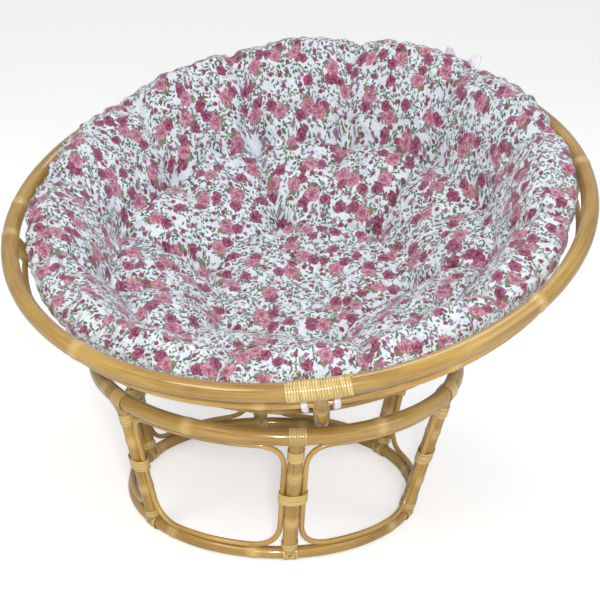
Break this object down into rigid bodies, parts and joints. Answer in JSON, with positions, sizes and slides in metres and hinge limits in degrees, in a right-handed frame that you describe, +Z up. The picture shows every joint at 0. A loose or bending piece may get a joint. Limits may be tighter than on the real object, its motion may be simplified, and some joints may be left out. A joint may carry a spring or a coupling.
{
  "type": "papasan chair",
  "caption": "Round rattan bowl chair: a hooped pole frame with a tufted floral cushion, resting on a flared ring base with lined open panels.",
  "frame": {"origin": "on the floor, below the middle of the chair's outline", "axes": "+Z up; the chair faces -Y, towards its lower front rim; +X to the right of someone who looks at the chair from the front"},
  "size_m": [1.0922, 1.0598, 0.7991],
  "materials": {
    "rattan_pole": "clear lacquered rattan pole, satin gloss",
    "rattan_cane": "clear lacquered thin rattan cane, satin gloss",
    "cane_peel": "lacquered flat cane peel, satin gloss",
    "dowel_wood": "raw wood, hidden in the joints",
    "cushion_print": "matt woven cotton with a rose print",
    "tie_satin": "pale lavender satin tape"
  },
  "bodies": {
    "base": {"top_ring": "rattan_pole", "bottom_ring": "rattan_pole", "leg_1": "rattan_pole", "lining_cane_1": "rattan_cane", "top_strap_1": "cane_peel", "top_wrap_1": "cane_peel", "mid_wrap_1": "cane_peel", "foot_wrap_1": "cane_peel", "leg_2": "rattan_pole", "lining_cane_2": "rattan_cane", "top_strap_2": "cane_peel", "top_wrap_2": "cane_peel", "mid_wrap_2": "cane_peel", "foot_wrap_2": "cane_peel", "leg_3": "rattan_pole", "lining_cane_3": "rattan_cane", "top_strap_3": "cane_peel", "top_wrap_3": "cane_peel", "mid_wrap_3": "cane_peel", "foot_wrap_3": "cane_peel", "leg_4": "rattan_pole", "lining_cane_4": "rattan_cane", "top_strap_4": "cane_peel", "top_wrap_4": "cane_peel", "mid_wrap_4": "cane_peel", "foot_wrap_4": "cane_peel", "leg_5": "rattan_pole", "lining_cane_5": "rattan_cane", "top_strap_5": "cane_peel", "top_wrap_5": "cane_peel", "mid_wrap_5": "cane_peel", "foot_wrap_5": "cane_peel", "leg_6": "rattan_pole", "lining_cane_6": "rattan_cane", "top_strap_6": "cane_peel", "top_wrap_6": "cane_peel", "mid_wrap_6": "cane_peel", "foot_wrap_6": "cane_peel"},
    "bowl": {"rim": "rattan_pole", "rim_binding": "cane_peel", "upper_hoop": "rattan_cane", "middle_hoop": "rattan_cane", "lower_hoop": "rattan_cane", "rib_front_back": "rattan_pole", "rib_left_right": "rattan_pole", "centre_lashing_1": "cane_peel", "centre_lashing_2": "cane_peel", "cushion": "cushion_print", "front_tie_left": "tie_satin", "front_tie_right": "tie_satin", "back_tie_band": "tie_satin", "back_bow_left": "tie_satin", "back_bow_right": "tie_satin", "rib_dowel_1": "dowel_wood", "rib_dowel_2": "dowel_wood", "rib_dowel_3": "dowel_wood"}
  },
  "joints": [
    {"name": "bowl_tilt", "type": "hinge", "parent": "base", "child": "bowl", "pos_m": [-0.0296, -0.06753, 0.79513], "axis": [1, 0, 0], "range_deg": [-44, 12]}
  ]
}
